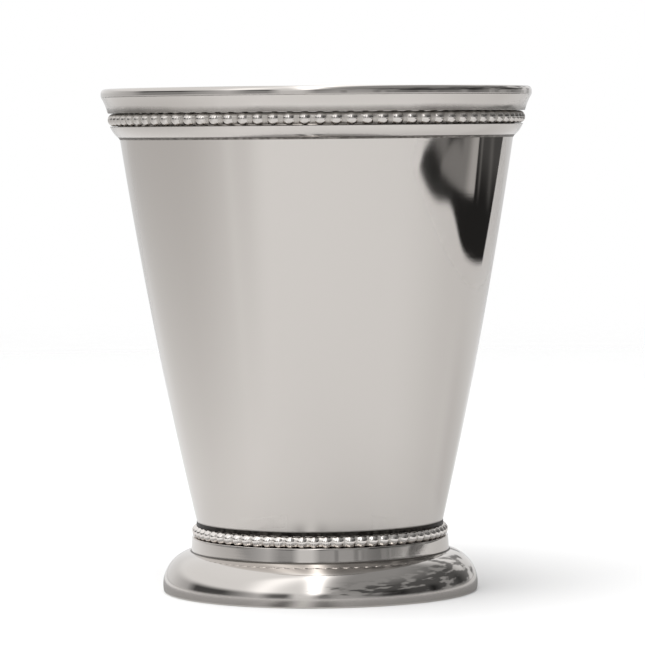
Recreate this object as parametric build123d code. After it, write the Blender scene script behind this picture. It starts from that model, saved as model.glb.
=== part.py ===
from build123d import *
import os
from math import atan2, degrees, hypot, pi, sqrt, tan

# Julep cup: a tapered drinking cup with a beaded border under its lip and a beaded, spreading foot.
# It is made as a metalsmith makes one: a spun body with a turned-out lip, drawn moulding wires and a beaded
# wire soldered round the rim, and a spun hollow foot soldered under the body, its joint hidden by a second
# beaded wire. Nothing on it moves.
# Frame: origin at the centre of the ring that the foot stands on, +Z up the axis. Millimetres.

# Whole cup
HEIGHT = 104.0                  # from the table to the top of the lip
LIP_RADIUS = 44.45              # outside of the lip: a mouth of three and a half inches

# Spun body
BODY_WALL = 0.8
BODY_FLOOR = 1.0                # thickness of the bottom
BODY_FOOT_RADIUS = 24.85        # outside of the wall where it reaches the foot
BODY_BULGE = 1.0                # how far the side swells past a straight taper
HEEL_BEND = 1.2                 # inside of the bend between wall and bottom
LIP_PROJECTION = 2.6            # how far the lip stands out from the wall
LIP_HEIGHT = 1.7                # height of its outer edge, from the border to the top
LIP_ROUND = 0.9                 # round at the top of that edge, the rest of it being upright

# Border round the rim, from the lip downwards. Thicknesses are measured out from the wall.
UPPER_MOULDING_HEIGHT = 3.3     # hollow (cavetto) moulding
UPPER_MOULDING_TOP = 2.55       # thickness under the lip
UPPER_MOULDING_FOOT = 1.65      # thickness over the beads
UPPER_MOULDING_HOLLOW = 0.12    # depth of its hollow face, at the middle
RIM_BEAD_DIAMETER = 2.6
RIM_BEAD_PITCH = 3.09           # from one bead to the next, round the circle of their centres
RIM_BEAD_PROJECTION = 1.9       # how far a bead stands out from the wall
RIM_WIRE_CORE = 1.4             # thickness of the wire between two beads
LOWER_MOULDING_HEIGHT = 2.35    # rounded (ovolo) moulding
LOWER_MOULDING_TOP = 1.63       # thickness under the beads
LOWER_MOULDING_FOOT = 0.25      # thickness of its lower edge
LOWER_MOULDING_SWELL = 0.2      # how far its face swells past a straight slope

# Spun foot
SKIRT_ROUND = 7.0               # radius of the skirt's rounded side
SKIRT_PROJECTION = 5.9          # how far the skirt stands out past the collar
SKIRT_WAIST_HEIGHT = 1.4        # height of the widest point
COLLAR_HEIGHT = 3.0             # plain band between skirt and beads
COLLAR_PROJECTION = 1.9         # how far the collar's foot stands out past the foot of the body
COLLAR_TAPER = 0.2              # how much narrower its upper edge is, on the radius
FOOT_WALL = 0.8
STANDING_RING_WIDTH = 1.6       # edge turned in under the skirt
SEAT_WIDTH = 7.5                # flat ring under the body, up to the edge of its hole
FOOT_BEAD_DIAMETER = 2.36
FOOT_BEAD_PITCH = 2.41          # from one bead to the next
FOOT_BEAD_PROJECTION = 1.45     # how far a bead stands out from the wall
FOOT_WIRE_CORE = 1.2            # thickness of the wire between two beads

# Solder
SOLDER_GAP = 0.05               # film between two soldered faces
RIM_SEAM_HEIGHT = 0.4           # fillet under the border: leg down the wall
FOOT_SEAM_WIDTH = 0.25          # fillet over the foot's beads: leg along the beads
FOOT_SEAM_HEIGHT = 0.75         # and leg up the wall
SEAT_SEAM = 0.6                 # legs of the fillet inside the foot

# Foot, worked out from the table upwards
COLLAR_RADIUS = BODY_FOOT_RADIUS + COLLAR_PROJECTION
COLLAR_TOP_RADIUS = COLLAR_RADIUS - COLLAR_TAPER
SKIRT_CENTRE_RADIUS = COLLAR_RADIUS + SKIRT_PROJECTION - SKIRT_ROUND
SHOULDER_HEIGHT = SKIRT_WAIST_HEIGHT + sqrt(SKIRT_ROUND**2 - (COLLAR_RADIUS - SKIRT_CENTRE_RADIUS) ** 2)
SEAT_HEIGHT = SHOULDER_HEIGHT + COLLAR_HEIGHT
SEAT_HOLE_RADIUS = BODY_FOOT_RADIUS - SEAT_WIDTH
BODY_UNDERSIDE = SEAT_HEIGHT + SOLDER_GAP
FOOT_BEAD_HEIGHT = SEAT_HEIGHT + SOLDER_GAP + FOOT_BEAD_DIAMETER / 2

# Rim, worked out from the lip downwards
BODY_TOP_RADIUS = LIP_RADIUS - LIP_PROJECTION
LIP_UNDERSIDE = HEIGHT - LIP_HEIGHT
RIM_BEAD_TOP = LIP_UNDERSIDE - UPPER_MOULDING_HEIGHT
RIM_BEAD_HEIGHT = RIM_BEAD_TOP - SOLDER_GAP - RIM_BEAD_DIAMETER / 2
RIM_BEAD_UNDERSIDE = RIM_BEAD_HEIGHT - RIM_BEAD_DIAMETER / 2
LOWER_MOULDING_SEAT = RIM_BEAD_UNDERSIDE - SOLDER_GAP
BORDER_FOOT = LOWER_MOULDING_SEAT - LOWER_MOULDING_HEIGHT


def side_arc():
    """Arc that the outside of the wall follows: radius and height of its centre, and its own radius."""
    run = BODY_TOP_RADIUS - BODY_FOOT_RADIUS
    rise = LIP_UNDERSIDE - BODY_UNDERSIDE
    chord = hypot(run, rise)
    arc = (chord**2 / 4 + BODY_BULGE**2) / (2 * BODY_BULGE)
    back = arc - BODY_BULGE
    centre_radius = (BODY_TOP_RADIUS + BODY_FOOT_RADIUS) / 2 - back * rise / chord
    centre_height = (LIP_UNDERSIDE + BODY_UNDERSIDE) / 2 + back * run / chord
    return centre_radius, centre_height, arc


def side_radius(height, inset=0.0):
    """Radius of the outside of the wall at a height, or of a surface set in from it."""
    centre_radius, centre_height, arc = side_arc()
    return centre_radius + sqrt((arc - inset) ** 2 - (height - centre_height) ** 2)


def side_edge(low, high, inset=0.0):
    """One arc up the wall, between two heights."""
    heights = (low, (low + high) / 2, high)
    return ThreePointArc(*[(side_radius(height, inset), height) for height in heights])


def section(*edges):
    """Face on the XZ plane inside a closed outline drawn as (radius, height)."""
    return make_face(Plane.XZ * (Curve() + list(edges)))


def ring(*edges):
    """Solid of revolution about the cup's axis, from a closed outline drawn as (radius, height)."""
    return revolve(section(*edges), Axis.Z)


def cup_body():
    """Spun shell: flat bottom, swelling tapered wall and a lip turned out over the top moulding."""
    round_start = HEIGHT - LIP_ROUND
    crest_radius = LIP_RADIUS - LIP_ROUND
    flare_start = HEIGHT - (crest_radius - BODY_TOP_RADIUS + BODY_WALL)
    flare_radius = side_radius(flare_start, BODY_WALL)
    floor = BODY_UNDERSIDE + BODY_FLOOR
    floor_radius = side_radius(floor, BODY_WALL)
    face = section(
        Line((0, BODY_UNDERSIDE), (BODY_FOOT_RADIUS, BODY_UNDERSIDE)),
        side_edge(BODY_UNDERSIDE, LIP_UNDERSIDE),
        Line((BODY_TOP_RADIUS, LIP_UNDERSIDE), (LIP_RADIUS, LIP_UNDERSIDE)),
        Line((LIP_RADIUS, LIP_UNDERSIDE), (LIP_RADIUS, round_start)),
        TangentArc((LIP_RADIUS, round_start), (crest_radius, HEIGHT), tangent=(0, 1)),
        TangentArc((crest_radius, HEIGHT), (flare_radius, flare_start), tangent=(-1, 0)),
        side_edge(floor, flare_start, BODY_WALL),
        Line((floor_radius, floor), (0, floor)),
        Line((0, floor), (0, BODY_UNDERSIDE)),
    )
    outer_corner = Vector(BODY_FOOT_RADIUS, 0, BODY_UNDERSIDE)
    inner_corner = Vector(floor_radius, 0, floor)
    for corner, bend in ((outer_corner, HEEL_BEND + BODY_WALL), (inner_corner, HEEL_BEND)):
        face = fillet(face.vertices().sort_by_distance(corner)[0], bend)
    return revolve(face, Axis.Z)


def moulding(top, foot, top_thickness, foot_thickness, swell):
    """Drawn wire round the wall between two heights, its face an arc that swells out or, below zero, in."""
    top_radius = side_radius(top) + top_thickness
    foot_radius = side_radius(foot) + foot_thickness
    middle = ((top_radius + foot_radius) / 2 + swell, (top + foot) / 2)
    back_top = side_radius(top) + SOLDER_GAP
    back_foot = side_radius(foot) + SOLDER_GAP
    return ring(
        Line((back_foot, foot), (foot_radius, foot)),
        ThreePointArc((foot_radius, foot), middle, (top_radius, top)),
        Line((top_radius, top), (back_top, top)),
        Line((back_top, top), (back_foot, foot)),
    )


def rim_upper_moulding():
    """Wire with a hollow face, soldered to the wall right under the lip."""
    top = LIP_UNDERSIDE - SOLDER_GAP
    return moulding(top, RIM_BEAD_TOP, UPPER_MOULDING_TOP, UPPER_MOULDING_FOOT, -UPPER_MOULDING_HOLLOW)


def rim_lower_moulding():
    """Wire with a rounded face, soldered to the wall under the beads."""
    return moulding(
        LOWER_MOULDING_SEAT, BORDER_FOOT, LOWER_MOULDING_TOP, LOWER_MOULDING_FOOT, LOWER_MOULDING_SWELL
    )


def beaded_wire(diameter, pitch, core, projection, height):
    """A ring of round beads strung on a thinner core wire, its back cut flat at each bead to lie on the wall.

    One bead, with half of the core on either side, is an outline turned about the tangent of the bead
    circle. It is trimmed to its sector of the ring and repeated.
    """
    circle = side_radius(height) + projection - diameter / 2
    count = round(2 * pi * circle / pitch)
    reach = circle + diameter
    end = reach * tan(pi / count)
    neck = sqrt(diameter**2 - core**2) / 2
    outline = make_face(
        Curve()
        + [
            Line((0, -end), (core / 2, -end)),
            Line((core / 2, -end), (core / 2, -neck)),
            ThreePointArc((core / 2, -neck), (diameter / 2, 0), (core / 2, neck)),
            Line((core / 2, neck), (core / 2, end)),
            Line((core / 2, end), (0, end)),
            Line((0, end), (0, -end)),
        ]
    )
    bead = Pos(circle, 0, height) * revolve(outline, Axis.Y)
    low, high = height - diameter / 2, height + diameter / 2
    slope = degrees(atan2(side_radius(high) - side_radius(low), diameter))
    back = Pos(side_radius(height) + SOLDER_GAP, 0, height) * Rot(Y=slope)
    wall = back * Pos(-diameter, 0, 0) * Box(2 * diameter, 4 * diameter, 4 * diameter)
    corners = Polyline((0, 0), (reach, -end), (reach, end), close=True)
    sector = Pos(0, 0, height - diameter) * extrude(make_face(corners), 2 * diameter)
    bead = (bead - wall) & sector
    return Part() + [Rot(Z=360 * i / count) * bead for i in range(count)]


def rim_bead_wire():
    """Beaded wire between the two mouldings of the border."""
    return beaded_wire(
        RIM_BEAD_DIAMETER, RIM_BEAD_PITCH, RIM_WIRE_CORE, RIM_BEAD_PROJECTION, RIM_BEAD_HEIGHT
    )


def foot_bead_wire():
    """Beaded wire that lies on the foot's seat and hides the joint with the body."""
    return beaded_wire(
        FOOT_BEAD_DIAMETER, FOOT_BEAD_PITCH, FOOT_WIRE_CORE, FOOT_BEAD_PROJECTION, FOOT_BEAD_HEIGHT
    )


def skirt_edge(start_radius, start_height, end_radius, end_height, skirt_round):
    """The skirt's rounded side, outer or inner, from one end through its widest point to the other end."""
    waist = (SKIRT_CENTRE_RADIUS + skirt_round, SKIRT_WAIST_HEIGHT)
    return ThreePointArc((start_radius, start_height), waist, (end_radius, end_height))


def skirt_radius(height, skirt_round):
    """Radius of the skirt's rounded side, outer or inner, at a height below its widest point."""
    return SKIRT_CENTRE_RADIUS + sqrt(skirt_round**2 - (height - SKIRT_WAIST_HEIGHT) ** 2)


def foot_shell():
    """Spun hollow foot: turned-in standing ring, rounded skirt, plain collar and flat seat with a hole."""
    inner_round = SKIRT_ROUND - FOOT_WALL
    inner_collar = COLLAR_RADIUS - FOOT_WALL
    inner_collar_top = COLLAR_TOP_RADIUS - FOOT_WALL
    inner_shoulder = SKIRT_WAIST_HEIGHT + sqrt(inner_round**2 - (inner_collar - SKIRT_CENTRE_RADIUS) ** 2)
    seat_underside = SEAT_HEIGHT - FOOT_WALL
    edge = skirt_radius(0, SKIRT_ROUND)
    inner_edge = skirt_radius(FOOT_WALL, inner_round)
    turned_in = edge - STANDING_RING_WIDTH
    return ring(
        Line((turned_in, 0), (edge, 0)),
        skirt_edge(edge, 0, COLLAR_RADIUS, SHOULDER_HEIGHT, SKIRT_ROUND),
        Line((COLLAR_RADIUS, SHOULDER_HEIGHT), (COLLAR_TOP_RADIUS, SEAT_HEIGHT)),
        Line((COLLAR_TOP_RADIUS, SEAT_HEIGHT), (SEAT_HOLE_RADIUS, SEAT_HEIGHT)),
        Line((SEAT_HOLE_RADIUS, SEAT_HEIGHT), (SEAT_HOLE_RADIUS, seat_underside)),
        Line((SEAT_HOLE_RADIUS, seat_underside), (inner_collar_top, seat_underside)),
        Line((inner_collar_top, seat_underside), (inner_collar, inner_shoulder)),
        skirt_edge(inner_collar, inner_shoulder, inner_edge, FOOT_WALL, inner_round),
        Line((inner_edge, FOOT_WALL), (turned_in, FOOT_WALL)),
        Line((turned_in, FOOT_WALL), (turned_in, 0)),
    )


def wall_fillet(start, end, width):
    """Solder fillet against the wall: as wide as given at its start height, running out at its end height."""
    back = (side_radius(start, -SOLDER_GAP), start)
    front = (side_radius(start) + width, start)
    tip = (side_radius(end, -SOLDER_GAP), end)
    return ring(Line(back, front), Line(front, tip), side_edge(end, start, -SOLDER_GAP))


def rim_solder_seam():
    """Solder fillet between the border's lower edge and the wall."""
    return wall_fillet(BORDER_FOOT, BORDER_FOOT - RIM_SEAM_HEIGHT, LOWER_MOULDING_FOOT)


def foot_solder_seam():
    """Solder fillet that fills the groove between the tops of the foot's beads and the wall."""
    bead_top = FOOT_BEAD_HEIGHT + FOOT_BEAD_DIAMETER / 2
    return wall_fillet(bead_top, bead_top + FOOT_SEAM_HEIGHT, FOOT_SEAM_WIDTH)


def foot_seat_solder():
    """Solder fillet inside the foot, between the edge of the seat's hole and the body's bottom."""
    corner = (SEAT_HOLE_RADIUS, BODY_UNDERSIDE)
    inward = (SEAT_HOLE_RADIUS - SEAT_SEAM, BODY_UNDERSIDE)
    down = (SEAT_HOLE_RADIUS, BODY_UNDERSIDE - SEAT_SEAM)
    return ring(Line(corner, inward), Line(inward, down), Line(down, corner))


PIECES = (
    cup_body,
    rim_upper_moulding,
    rim_bead_wire,
    rim_lower_moulding,
    rim_solder_seam,
    foot_shell,
    foot_bead_wire,
    foot_solder_seam,
    foot_seat_solder,
)

os.makedirs("parts", exist_ok=True)
for piece in PIECES:
    export_step(piece(), f"parts/{piece.__name__}.step")
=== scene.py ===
# %% [markdown]
# # A julep cup in polished plate
#
# A julep cup is a metal tumbler on a small foot. Every part of it was turned on a lathe or bent into a
# ring, so almost every surface here is a curve carried round one axis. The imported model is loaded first.
# It holds the real sizes and stays as it is; the finely made surfaces below take its place one by one.

# %% Load the fixed frame
import math

import bpy
import numpy as np
from mathutils import Euler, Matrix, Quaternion, Vector


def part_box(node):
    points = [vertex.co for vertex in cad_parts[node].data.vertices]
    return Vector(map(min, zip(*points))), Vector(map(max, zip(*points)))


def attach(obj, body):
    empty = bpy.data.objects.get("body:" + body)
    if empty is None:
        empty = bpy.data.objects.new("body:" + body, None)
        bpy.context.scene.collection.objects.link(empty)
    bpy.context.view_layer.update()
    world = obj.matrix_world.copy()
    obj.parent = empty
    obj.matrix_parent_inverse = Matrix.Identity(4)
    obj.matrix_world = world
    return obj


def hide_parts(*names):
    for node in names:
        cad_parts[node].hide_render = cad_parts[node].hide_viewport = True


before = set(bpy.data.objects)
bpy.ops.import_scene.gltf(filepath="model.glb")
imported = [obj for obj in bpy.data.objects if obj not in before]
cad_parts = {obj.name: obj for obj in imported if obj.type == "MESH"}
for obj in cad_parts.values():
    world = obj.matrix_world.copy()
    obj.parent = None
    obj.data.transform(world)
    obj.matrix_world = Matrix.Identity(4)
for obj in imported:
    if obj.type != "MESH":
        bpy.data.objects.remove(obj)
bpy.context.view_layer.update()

MM = 0.001
print("nodes:", sorted(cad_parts))

# %% [markdown]
# ## Sizes
#
# Heights and outer radii are read from the frame, so the new surfaces can't drift away from it. Only what
# a box can't tell is written here: wall thicknesses, how far a side swells, how a bead is cut.

# %% Read the sizes from the frame
def turned_size(node):
    """Outer radius, lowest and highest level of a node that is turned about Z, in metres."""
    low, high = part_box(node)
    return high[0], low[2], high[2]


LIP_RADIUS, BODY_UNDERSIDE, HEIGHT = turned_size("cup_body")
CAVETTO_RADIUS, CAVETTO_FOOT, CAVETTO_TOP = turned_size("rim_upper_moulding")
RIM_BEAD_RADIUS, RIM_BEAD_FOOT, RIM_BEAD_TOP = turned_size("rim_bead_wire")
OVOLO_RADIUS, OVOLO_FOOT, OVOLO_TOP = turned_size("rim_lower_moulding")
RIM_SEAM_RADIUS, RIM_SEAM_FOOT, RIM_SEAM_TOP = turned_size("rim_solder_seam")
SKIRT_RADIUS, TABLE, SEAT = turned_size("foot_shell")
FOOT_BEAD_RADIUS = turned_size("foot_bead_wire")[0]
FOOT_SEAM_RADIUS, FOOT_SEAM_FOOT, FOOT_SEAM_TOP = turned_size("foot_solder_seam")
SEAT_HOLE_RADIUS, SEAT_SEAM_FOOT, SEAT_SEAM_TOP = turned_size("foot_seat_solder")

BODY_WALL = 0.8 * MM
BODY_FLOOR = 1.0 * MM
BODY_FOOT_RADIUS = 24.85 * MM
LIP_PROJECTION = 2.6 * MM
BODY_TOP_RADIUS = LIP_RADIUS - LIP_PROJECTION
BODY_BULGE = 1.0 * MM
SOLDER_GAP = 0.05 * MM
LIP_UNDERSIDE = CAVETTO_TOP + SOLDER_GAP
print(f"cup {HEIGHT / MM:.2f} mm tall")
print(f"mouth {2 * LIP_RADIUS / MM:.2f} mm across, foot {2 * SKIRT_RADIUS / MM:.2f} mm across")

# %% [markdown]
# ## From a drawn outline to a surface
#
# A lathe turns an outline into a surface. The outline is drawn as (radius, height) points, side by side:
# straight sides and arcs. Where two sides meet, a real edge is never razor sharp. A small curve there
# costs a few points and gives the thin bright line that tells the eye it is looking at metal.

# %% Draw sides and ease corners
SAME_PLACE = 1e-7


def line(start, end):
    """A straight side: its two ends."""
    return np.array([start, end], dtype=float)


def arc(start, end, bulge, count=65):
    """A side that is part of a circle, its middle lying bulge to the right of the straight way.

    With h half of the angle that the arc turns through, tan(h / 2) is bulge over half the chord. A point
    at the angle t, between -h and h, lies sin t / sin h along the half chord, and beside the chord by
    (cos t - cos h) / sin h half chords.
    """
    start, end = np.array(start, dtype=float), np.array(end, dtype=float)
    half_chord = (end - start) / 2
    right = np.array([half_chord[1], -half_chord[0]])
    turn = 2 * np.arctan2(bulge, np.hypot(*half_chord))
    t = np.linspace(-turn, turn, count)[:, None]
    along = np.sin(t) / np.sin(turn)
    beside = (np.cos(t) - np.cos(turn)) / np.sin(turn)
    return (start + end) / 2 + along * half_chord + beside * right


def along_side(side, start, end, count):
    """count points evenly spaced along a side, leaving out a length at its start and one at its end."""
    lengths = np.concatenate([[0], np.cumsum(np.hypot(*np.diff(side, axis=0).T))])
    wanted = np.linspace(start, lengths[-1] - end, count)
    return np.stack([np.interp(wanted, lengths, column) for column in side.T], axis=1)


def outline(sides, counts, eases, closed=True, corner_points=5):
    """Points of an outline whose corners are eased.

    Each side is cut short by the ease of the corners at its ends. The gap is closed with the curve
    (1 - t)^2 a + 2 t (1 - t) c + t^2 b, which leaves a towards the old corner c and arrives at b from it.
    eases[i] belongs to the corner at the end of side i.
    """
    lead = [eases[i - 1] if closed or i else 0 for i in range(len(sides))]
    cut = [along_side(*parts) for parts in zip(sides, lead, eases, counts)]
    t = np.linspace(0, 1, corner_points + 2)[1:-1, None]
    rows = []
    for i, side in enumerate(cut):
        rows.append(side)
        if eases[i]:
            after = cut[(i + 1) % len(cut)][0]
            rows.append((1 - t) ** 2 * side[-1] + 2 * t * (1 - t) * sides[i][-1] + t**2 * after)
    points = np.concatenate(rows)
    keep = np.hypot(*(points - np.roll(points, 1, axis=0)).T) > SAME_PLACE
    return points[keep] if closed else points[keep | (np.arange(len(points)) == 0)]


square_corners = [(0, 0), (1, 0), (1, 1), (0, 1)]
square = [line(square_corners[i - 1], square_corners[i]) for i in (1, 2, 3, 0)]
print("an eased square has", len(outline(square, [2] * 4, [0.1] * 4)), "points")

# %% [markdown]
# ## From a grid of points to a mesh
#
# A grid of points that closes on itself becomes quads by joining each point to its neighbours. Doing that
# with whole arrays is quick, and the same function then serves lathe work and beaded wire. A number
# stored at each point says how deep the point lies in a crevice, or how much painted shade it gets. The
# finish darkens by it: partly tarnish where polish never reaches, partly painted shade.

# %% Make meshes from grids
TURNS = 240


def add_object(name, data):
    """A new object in the scene, at the origin."""
    thing = bpy.data.objects.new(name, data)
    bpy.context.scene.collection.objects.link(thing)
    return thing


def grid_mesh(name, grid, hollow_and_shade, closed=True):
    """Mesh of a grid of points, rows up the outside and columns round the axis, both ways closed.

    A point (i, j) is joined to (i, j + 1), (i + 1, j + 1) and (i + 1, j), counting round, which puts the
    outside of the quad on the outside of the piece. If the rows aren't closed, the first and the last row
    lie on the axis as single points, and fans of triangles join them to the rows beside them.
    """
    rows, columns = grid.shape[:2]
    ends = 0 if closed else 1
    body = grid[ends:rows - ends]
    depth = np.repeat(hollow_and_shade[ends:rows - ends, None], columns, axis=1) if hollow_and_shade.ndim == 1 else hollow_and_shade
    count = len(body)
    index = np.arange(count * columns).reshape(count, columns)
    low = index if closed else index[:-1]
    high = np.roll(index, -1, axis=0) if closed else index[1:]
    quads = np.stack([low, np.roll(low, -1, 1), np.roll(high, -1, 1), high], axis=-1).reshape(-1, 4)
    points, depths, faces = body.reshape(-1, 3), depth.reshape(-1), quads.tolist()
    if not closed:
        points = np.concatenate([points, grid[:1, 0], grid[-1:, 0]])
        depths = np.concatenate([depths, hollow_and_shade[[0, -1]]])
        first, last = np.full(columns, count * columns), np.full(columns, count * columns + 1)
        faces += np.stack([first, np.roll(index[0], -1), index[0]], axis=-1).tolist()
        faces += np.stack([last, index[-1], np.roll(index[-1], -1)], axis=-1).tolist()
    mesh = bpy.data.meshes.new(name)
    mesh.from_pydata(points.tolist(), [], faces)
    mesh.attributes.new("hollow_and_shade", "FLOAT", "POINT").data.foreach_set("value", depths.astype(np.float32))
    mesh.polygons.foreach_set("use_smooth", np.ones(len(mesh.polygons), dtype=bool))
    mesh.update()
    return add_object(name, mesh)


def crevice_depth(points, crevices):
    """Deepest in a crevice, falling off as exp(-(distance / reach)^2).

    Crevices are (radius, height, reach, depth), with a depth of 1 for a place that no cloth gets into. The
    darkening there is tarnish and painted shade in one.
    """
    depth = np.zeros(len(points))
    for radius, height, reach, deepest in crevices:
        away = np.hypot(points[:, 0] - radius, points[:, 1] - height)
        depth = np.maximum(depth, deepest * np.exp(-((away / reach) ** 2)))
    return depth


def turn(name, points, crevices=(), closed=True):
    """Surface of revolution: at the angle a, the outline's point (r, z) goes to (r cos a, r sin a, z)."""
    angle = np.linspace(0, 2 * np.pi, TURNS, endpoint=False)
    radius, height = points[:, :1], points[:, 1:]
    grid = np.stack([radius * np.cos(angle), radius * np.sin(angle), height + 0 * angle], axis=-1)
    return grid_mesh(name, grid, crevice_depth(points, crevices), closed)


def finish_piece(piece, node):
    """Tie a finished piece to the cup: it rides on the one body and stands for a node, which is hidden."""
    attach(piece, "root")
    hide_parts(node)
    print(f"{piece.name}: {len(piece.data.polygons)} faces for {node}")


print("turned pieces go round in", TURNS, "steps")

# %% [markdown]
# ## The spun body
#
# The body is one disc of sheet, pressed over a turning former until it became a cup, then turned outwards
# at the top for a lip that is kind to the mouth: upright outside, rounded on top. Its side is not
# straight: it swells about a millimetre, which bends every reflection a little. Outside and inside are
# two arcs one wall thickness apart.

# %% Spin the body
def side_arc():
    """The arc of the wall's outside: radius and height of its centre, and its own radius."""
    ends = np.array([[BODY_FOOT_RADIUS, BODY_UNDERSIDE], [BODY_TOP_RADIUS, LIP_UNDERSIDE]])
    run, rise = ends[1] - ends[0]
    chord = np.hypot(run, rise)
    radius = (chord**2 / 4 + BODY_BULGE**2) / (2 * BODY_BULGE)
    inward = np.array([-rise, run]) / chord
    centre = ends.mean(axis=0) + (radius - BODY_BULGE) * inward
    return centre[0], centre[1], radius


def side_radius(height, inset=0.0):
    """Radius of the wall's outside at a height, or of a surface set in from it."""
    centre_radius, centre_height, radius = side_arc()
    return centre_radius + np.sqrt((radius - inset) ** 2 - (height - centre_height) ** 2)


def wall_side(low, high, inset=0.0):
    """The wall between two heights, as a side of an outline."""
    heights = np.linspace(low, high, 129)
    return np.stack([side_radius(heights, inset), heights], axis=1)


HEEL_EASE = 1.6 * MM
LIP_EDGE_EASE = 0.1 * MM
FLARE_EASE = 0.6 * MM
BOWL_FLOOR_EASE = 0.9 * MM
LIP_ROUND = 0.9 * MM
CREST_RADIUS = LIP_RADIUS - LIP_ROUND
FLARE_START = HEIGHT - (CREST_RADIUS - BODY_TOP_RADIUS + BODY_WALL)
BOWL_FLOOR = BODY_UNDERSIDE + BODY_FLOOR


def body_outline():
    """Under the bottom, up the wall, out and round the lip, down the inside and in along the floor."""
    flare_foot = (side_radius(FLARE_START, BODY_WALL), FLARE_START)
    flare = np.array([CREST_RADIUS - flare_foot[0], HEIGHT - FLARE_START])
    quarter = np.linspace(np.pi / 2, np.pi, 33)
    flare_side = np.array(flare_foot) + flare * np.stack([1 + np.cos(quarter), np.sin(quarter)], axis=1)
    inside = wall_side(BOWL_FLOOR, FLARE_START, BODY_WALL)[::-1]
    round_start = HEIGHT - LIP_ROUND
    quarter_bulge = LIP_ROUND * (1 - math.sqrt(0.5))
    sides = [
        line((0, BODY_UNDERSIDE), (BODY_FOOT_RADIUS, BODY_UNDERSIDE)),
        wall_side(BODY_UNDERSIDE, LIP_UNDERSIDE),
        line((BODY_TOP_RADIUS, LIP_UNDERSIDE), (LIP_RADIUS, LIP_UNDERSIDE)),
        line((LIP_RADIUS, LIP_UNDERSIDE), (LIP_RADIUS, round_start)),
        arc((LIP_RADIUS, round_start), (CREST_RADIUS, HEIGHT), quarter_bulge),
        flare_side,
        inside,
        line(inside[-1], (0, BOWL_FLOOR)),
    ]
    counts = [14, 64, 4, 5, 12, 12, 64, 14]
    eases = [HEEL_EASE, 0, LIP_EDGE_EASE, 0, 0, FLARE_EASE, BOWL_FLOOR_EASE, 0]
    return outline(sides, counts, eases, closed=False)


spun_body = turn(
    "spun_body",
    body_outline(),
    crevices=[
        # Tarnish and painted shade at the joints under the border and over the foot's beads.
        (side_radius(RIM_SEAM_FOOT), RIM_SEAM_FOOT, 0.5 * MM, 0.9),
        (side_radius(FOOT_SEAM_TOP), FOOT_SEAM_TOP, 0.8 * MM, 1.0),
    ],
    closed=False,
)
finish_piece(spun_body, "cup_body")

# %% [markdown]
# ## The mouldings under the lip
#
# Two drawn wires are bent round the wall and soldered on. The upper one has a hollow face that leads the
# eye up into the lip, the lower one a rounded face that brings it back to the wall. Each outline has a
# flat back, just off the wall, and one arched face.

# %% Bend the two mouldings round the wall
EDGE_EASE = 0.14 * MM


def moulding_outline(foot, top, foot_radius, top_radius, swell, top_ease):
    """Foot, arched face, top and back of a wire round the wall."""
    back_foot = (side_radius(foot) + SOLDER_GAP, foot)
    back_top = (side_radius(top) + SOLDER_GAP, top)
    sides = [
        line(back_foot, (foot_radius, foot)),
        arc((foot_radius, foot), (top_radius, top), swell),
        line((top_radius, top), back_top),
        line(back_top, back_foot),
    ]
    return outline(sides, [5, 22, 5, 3], [EDGE_EASE, top_ease, EDGE_EASE, EDGE_EASE])


CAVETTO_FOOT_PROJECTION = 1.65 * MM
CAVETTO_FOOT_RADIUS = side_radius(CAVETTO_FOOT) + CAVETTO_FOOT_PROJECTION
CAVETTO_HOLLOW = 0.12 * MM
OVOLO_FOOT_PROJECTION = 0.25 * MM
OVOLO_FOOT_RADIUS = side_radius(OVOLO_FOOT) + OVOLO_FOOT_PROJECTION
OVOLO_SWELL = 0.2 * MM

rim_cavetto = turn(
    "rim_cavetto",
    moulding_outline(
        CAVETTO_FOOT, CAVETTO_TOP, CAVETTO_FOOT_RADIUS, CAVETTO_RADIUS, -CAVETTO_HOLLOW, EDGE_EASE / 3
    ),
    # Painted shade with some tarnish: this wide crevice darkens the lower half of the hollow face, above
    # the beads.
    crevices=[(CAVETTO_FOOT_RADIUS, CAVETTO_FOOT, 3.0 * MM, 0.82)],
)
finish_piece(rim_cavetto, "rim_upper_moulding")

rim_ovolo = turn(
    "rim_ovolo",
    moulding_outline(OVOLO_FOOT, OVOLO_TOP, OVOLO_FOOT_RADIUS, OVOLO_RADIUS, OVOLO_SWELL, EDGE_EASE),
    crevices=[
        # Tarnish and painted shade where the ovolo meets the beads and the wall.
        (OVOLO_RADIUS, OVOLO_TOP, 0.25 * MM, 1.0),
        (OVOLO_FOOT_RADIUS, OVOLO_FOOT, 0.45 * MM, 0.9),
    ],
)
finish_piece(rim_ovolo, "rim_lower_moulding")

# %% [markdown]
# ## The beaded wires
#
# Beading is rolled from plain wire: round beads with a thinner neck between them, flat at the back. It is
# a profile carried along a path, with one twist: the profile's size follows the beads as it goes. One
# grid makes the whole ring, so the necks join the beads with no seam.

# %% Roll the beaded wires
# The strip's height, the reach of each hollow and of the painted shade on the bead tops are shares of a
# bead's diameter.
STRIP_HEIGHT = 0.86
BACK_REACH = 0.1
UNDER_REACH = 0.12
TOP_SHADE_REACH = 0.5
UNDER_DEPTH = 0.8


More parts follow.
